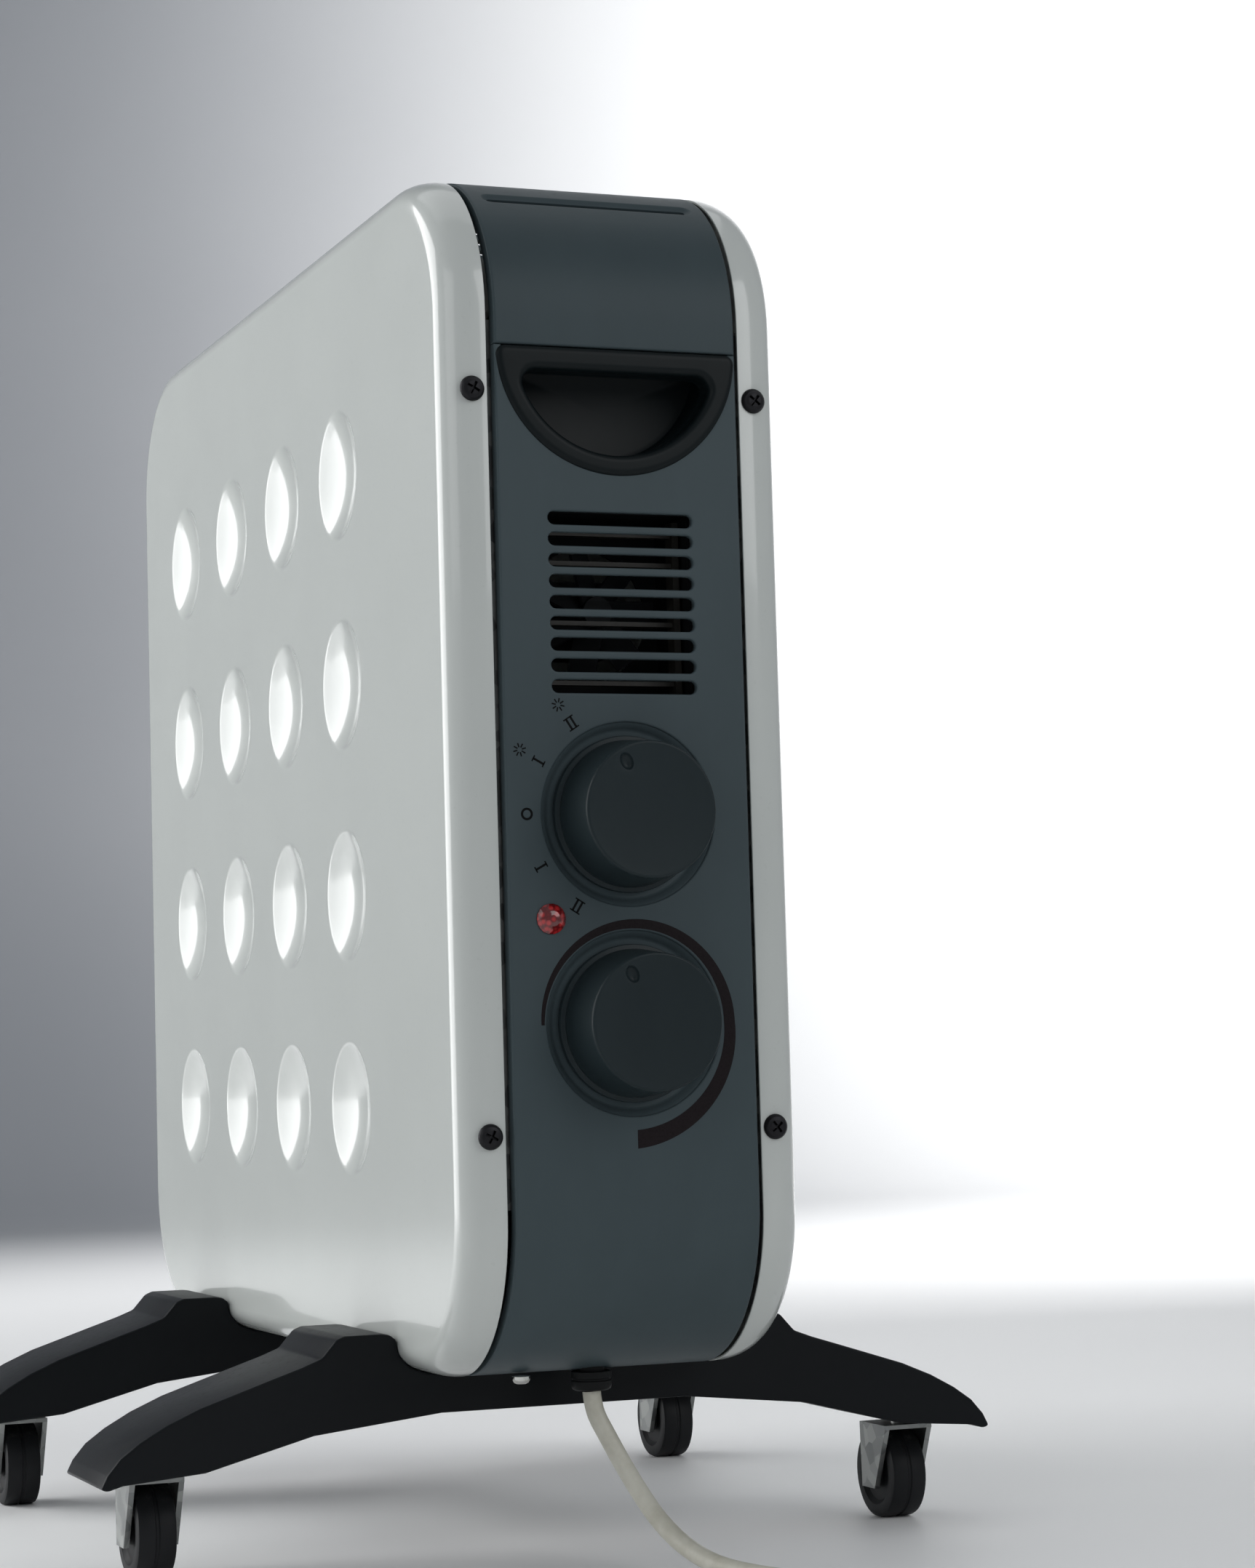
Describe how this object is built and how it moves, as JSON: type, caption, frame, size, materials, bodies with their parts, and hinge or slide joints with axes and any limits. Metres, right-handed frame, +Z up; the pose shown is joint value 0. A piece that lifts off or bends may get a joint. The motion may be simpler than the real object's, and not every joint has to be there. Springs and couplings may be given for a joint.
{
  "type": "oil filled radiator heater",
  "caption": "Upright oil filled radiator in white dimpled side panels with a charcoal control end, carrying handle, fan vents, two dials, arched feet on casters and a coiled cord.",
  "frame": {"origin": "on the floor under the middle of the heater without its cord", "axes": "+Z up, the control end with the dials faces -Y, the body is long along Y, +X is to the right when facing the dials"},
  "size_m": [0.434, 0.8859, 0.629],
  "materials": {
    "white_enamel": "smooth satin-gloss white stoved enamel",
    "charcoal_plastic": "satin charcoal moulded plastic",
    "black_plastic": "satin black moulded plastic",
    "foot_plastic": "matt black moulded plastic, fine grain",
    "wheel_plastic": "matt black",
    "galvanised_steel": "bare zinc-plated sheet",
    "element_enamel": "white enamel over pressed steel",
    "screw_black": "black oxide",
    "bright_chrome": "polished",
    "red_lens": "clear red, glossy",
    "lamp_glass": "clear",
    "mica": "pale brown mica board",
    "phenolic": "brown phenolic",
    "cord_sheath": "cream white PVC"
  },
  "bodies": {
    "base": {"right_side_panel": "white_enamel", "left_side_panel": "white_enamel", "control_housing": "charcoal_plastic", "top_cover": "charcoal_plastic", "handle_insert": "black_plastic", "rear_cover": "charcoal_plastic", "top_grille": "charcoal_plastic", "front_frame": "galvanised_steel", "rear_frame": "galvanised_steel", "rotary_switch": "phenolic", "thermostat_body": "phenolic", "indicator_lens": "red_lens", "neon_lamp": "lamp_glass", "fan_duct": "galvanised_steel", "fan_heating_coil": "mica", "fan_motor": "galvanised_steel", "terminal_block": "phenolic", "thermal_cutout": "phenolic", "oil_element_1": "element_enamel", "oil_element_2": "element_enamel", "oil_element_3": "element_enamel", "oil_element_4": "element_enamel", "oil_element_5": "element_enamel", "oil_element_6": "element_enamel", "oil_element_7": "element_enamel", "oil_element_8": "element_enamel", "oil_element_9": "element_enamel", "immersion_element": "galvanised_steel", "filler_plug": "galvanised_steel", "front_foot": "foot_plastic", "rear_foot": "foot_plastic", "front_flange_screw_1": "screw_black", "rear_flange_screw_1": "screw_black", "front_flange_screw_2": "screw_black", "rear_flange_screw_2": "screw_black", "front_flange_screw_3": "screw_black", "rear_flange_screw_3": "screw_black", "front_flange_screw_4": "screw_black", "rear_flange_screw_4": "screw_black", "underside_screw": "bright_chrome", "cord_grommet": "black_plastic", "power_cord": "cord_sheath", "cord_coil": "cord_sheath", "coil_tie": "black_plastic", "cord_tail": "cord_sheath", "plug": "cord_sheath"},
    "selector": {"selector_knob": "black_plastic", "selector_shaft": "galvanised_steel"},
    "thermostat": {"thermostat_knob": "black_plastic", "thermostat_shaft": "galvanised_steel"},
    "fan": {"fan_impeller": "black_plastic"},
    "front_left_swivel": {"front_left_caster_fork": "wheel_plastic"},
    "front_left_wheel": {"front_left_caster_wheel": "wheel_plastic"},
    "front_right_swivel": {"front_right_caster_fork": "wheel_plastic"},
    "front_right_wheel": {"front_right_caster_wheel": "wheel_plastic"},
    "rear_left_swivel": {"rear_left_caster_fork": "wheel_plastic"},
    "rear_left_wheel": {"rear_left_caster_wheel": "wheel_plastic"},
    "rear_right_swivel": {"rear_right_caster_fork": "wheel_plastic"},
    "rear_right_wheel": {"rear_right_caster_wheel": "wheel_plastic"}
  },
  "joints": [
    {"name": "selector_turn", "type": "hinge", "parent": "base", "child": "selector", "pos_m": [0, -0.2685, 0.3346], "axis": [0, -1, 0], "range_deg": [0, 115]},
    {"name": "thermostat_turn", "type": "hinge", "parent": "base", "child": "thermostat", "pos_m": [0, -0.2685, 0.2429], "axis": [0, 1, 0], "range_deg": [-62, 208]},
    {"name": "fan_spin", "type": "hinge", "parent": "base", "child": "fan", "pos_m": [0, -0.2335, 0.4279], "axis": [0, -1, 0], "continuous": true},
    {"name": "front_left_caster_swivel", "type": "hinge", "parent": "base", "child": "front_left_swivel", "pos_m": [-0.186, -0.135, 0.05], "axis": [0, 0, 1], "continuous": true},
    {"name": "front_left_wheel_roll", "type": "hinge", "parent": "front_left_swivel", "child": "front_left_wheel", "pos_m": [-0.186, -0.125, 0.02173], "axis": [1, 0, 0], "continuous": true},
    {"name": "front_right_caster_swivel", "type": "hinge", "parent": "base", "child": "front_right_swivel", "pos_m": [0.186, -0.135, 0.05], "axis": [0, 0, 1], "continuous": true},
    {"name": "front_right_wheel_roll", "type": "hinge", "parent": "front_right_swivel", "child": "front_right_wheel", "pos_m": [0.186, -0.125, 0.02173], "axis": [1, 0, 0], "continuous": true},
    {"name": "rear_left_caster_swivel", "type": "hinge", "parent": "base", "child": "rear_left_swivel", "pos_m": [-0.186, 0.163, 0.05], "axis": [0, 0, 1], "continuous": true},
    {"name": "rear_left_wheel_roll", "type": "hinge", "parent": "rear_left_swivel", "child": "rear_left_wheel", "pos_m": [-0.186, 0.173, 0.02173], "axis": [1, 0, 0], "continuous": true},
    {"name": "rear_right_caster_swivel", "type": "hinge", "parent": "base", "child": "rear_right_swivel", "pos_m": [0.186, 0.163, 0.05], "axis": [0, 0, 1], "continuous": true},
    {"name": "rear_right_wheel_roll", "type": "hinge", "parent": "rear_right_swivel", "child": "rear_right_wheel", "pos_m": [0.186, 0.173, 0.02173], "axis": [1, 0, 0], "continuous": true}
  ]
}
